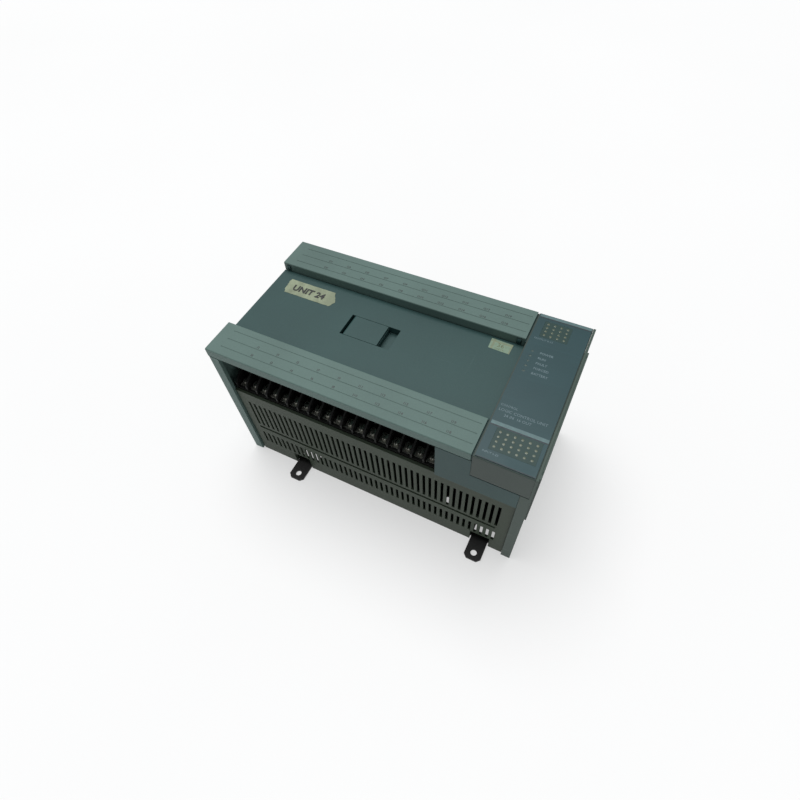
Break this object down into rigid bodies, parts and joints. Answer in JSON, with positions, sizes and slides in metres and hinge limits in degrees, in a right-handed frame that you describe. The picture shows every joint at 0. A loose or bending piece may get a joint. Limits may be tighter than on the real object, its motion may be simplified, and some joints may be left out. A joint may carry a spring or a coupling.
{
  "type": "plc module",
  "caption": "Brick-style programmable controller lying on its mounting plate, with hinged terminal covers, louvred sides, a port door and an indicator panel.",
  "frame": {"origin": "centre of the mounting plane, under the middle of the case", "axes": "+X along the case from its plain left end to the indicator end, +Y from the input side to the output side, +Z out of the front face"},
  "size_m": [0.265, 0.171, 0.145],
  "materials": {
    "cover_plastic": "fine moulded texture",
    "panel_plastic": "fine moulded texture",
    "vent_plastic": "fine moulded texture",
    "side_plastic": "fine moulded texture",
    "bezel_plastic": "fine moulded texture",
    "label_film": "satin printed film",
    "window_film": "tinted",
    "led_lens": "diffused",
    "black_steel": "black powder coat",
    "plated_steel": "zinc plated",
    "terminal_plastic": "moulded",
    "contact_brass": "tinned",
    "board_laminate": "solder mask",
    "chip_plastic": "moulded epoxy",
    "relay_plastic": "moulded",
    "core_steel": "laminated",
    "winding_copper": "varnished wire",
    "capacitor_sleeve": "shrunk sleeve",
    "black_aluminium": "anodised",
    "fuse_glass": "clear",
    "battery_wrap": "printed sleeve",
    "socket_plastic": "moulded",
    "spacer_nylon": "natural nylon",
    "masking_tape": "creped paper",
    "label_paper": "printed paper"
  },
  "bodies": {
    "case": {"base_plate": "black_steel", "base_studs": "plated_steel", "base_nuts": "plated_steel", "near_vent_wall": "vent_plastic", "far_vent_wall": "vent_plastic", "left_end_wall": "cover_plastic", "right_end_wall": "side_plastic", "front_housing": "panel_plastic", "lower_hinge_pins": "plated_steel", "upper_hinge_pins": "plated_steel", "port_door_pin": "plated_steel", "indicator_bezel": "bezel_plastic", "indicator_label": "label_film", "output_led_window": "window_film", "input_led_window": "window_film", "indicator_board": "board_laminate", "indicator_spacers": "spacer_nylon", "indicator_leds": "led_lens", "near_terminal_block": "terminal_plastic", "far_terminal_block": "terminal_plastic", "near_clamp_plates": "plated_steel", "far_clamp_plates": "plated_steel", "near_terminal_screws": "plated_steel", "far_terminal_screws": "plated_steel", "near_terminal_pins": "contact_brass", "far_terminal_pins": "contact_brass", "main_board": "board_laminate", "main_board_posts": "plated_steel", "main_board_screws": "plated_steel", "output_relays": "relay_plastic", "input_isolators": "chip_plastic", "processor_chip": "chip_plastic", "memory_chips": "chip_plastic", "expansion_connector": "socket_plastic", "expansion_pins": "contact_brass", "port_board": "board_laminate", "port_board_posts": "spacer_nylon", "port_jack": "socket_plastic", "memory_socket": "socket_plastic", "battery_holder": "socket_plastic", "backup_battery": "battery_wrap", "power_board": "board_laminate", "power_board_spacers": "spacer_nylon", "transformer_core": "core_steel", "transformer_winding": "winding_copper", "bulk_capacitors": "capacitor_sleeve", "filter_choke": "winding_copper", "heat_sink": "black_aluminium", "power_transistors": "chip_plastic", "line_fuse": "fuse_glass", "fuse_clips": "contact_brass", "riser_sockets": "socket_plastic", "riser_board": "board_laminate", "tape_tag": "masking_tape", "inspection_sticker": "label_paper"},
    "input_cover": {"lower_terminal_cover": "cover_plastic"},
    "output_cover": {"upper_terminal_cover": "cover_plastic"},
    "door": {"port_door": "panel_plastic"},
    "side_cover": {"expansion_cover": "side_plastic"},
    "module": {"memory_module": "socket_plastic"}
  },
  "joints": [
    {"name": "input_cover_hinge", "type": "hinge", "parent": "case", "child": "input_cover", "pos_m": [0, -0.041, 0.1405], "axis": [-1, 0, 0], "range_deg": [0, 105]},
    {"name": "output_cover_hinge", "type": "hinge", "parent": "case", "child": "output_cover", "pos_m": [0, 0.041, 0.1405], "axis": [1, 0, 0], "range_deg": [0, 105]},
    {"name": "port_door_hinge", "type": "hinge", "parent": "case", "child": "door", "pos_m": [-0.0464, 0.0036, 0.1352], "axis": [0, -1, 0], "range_deg": [0, 105]},
    {"name": "side_cover_slide", "type": "slide", "parent": "case", "child": "side_cover", "axis": [0, 0, 1], "range_m": [0, 0.055]},
    {"name": "module_pull", "type": "slide", "parent": "case", "child": "module", "axis": [0, 0, 1], "range_m": [0, 0.007]}
  ]
}
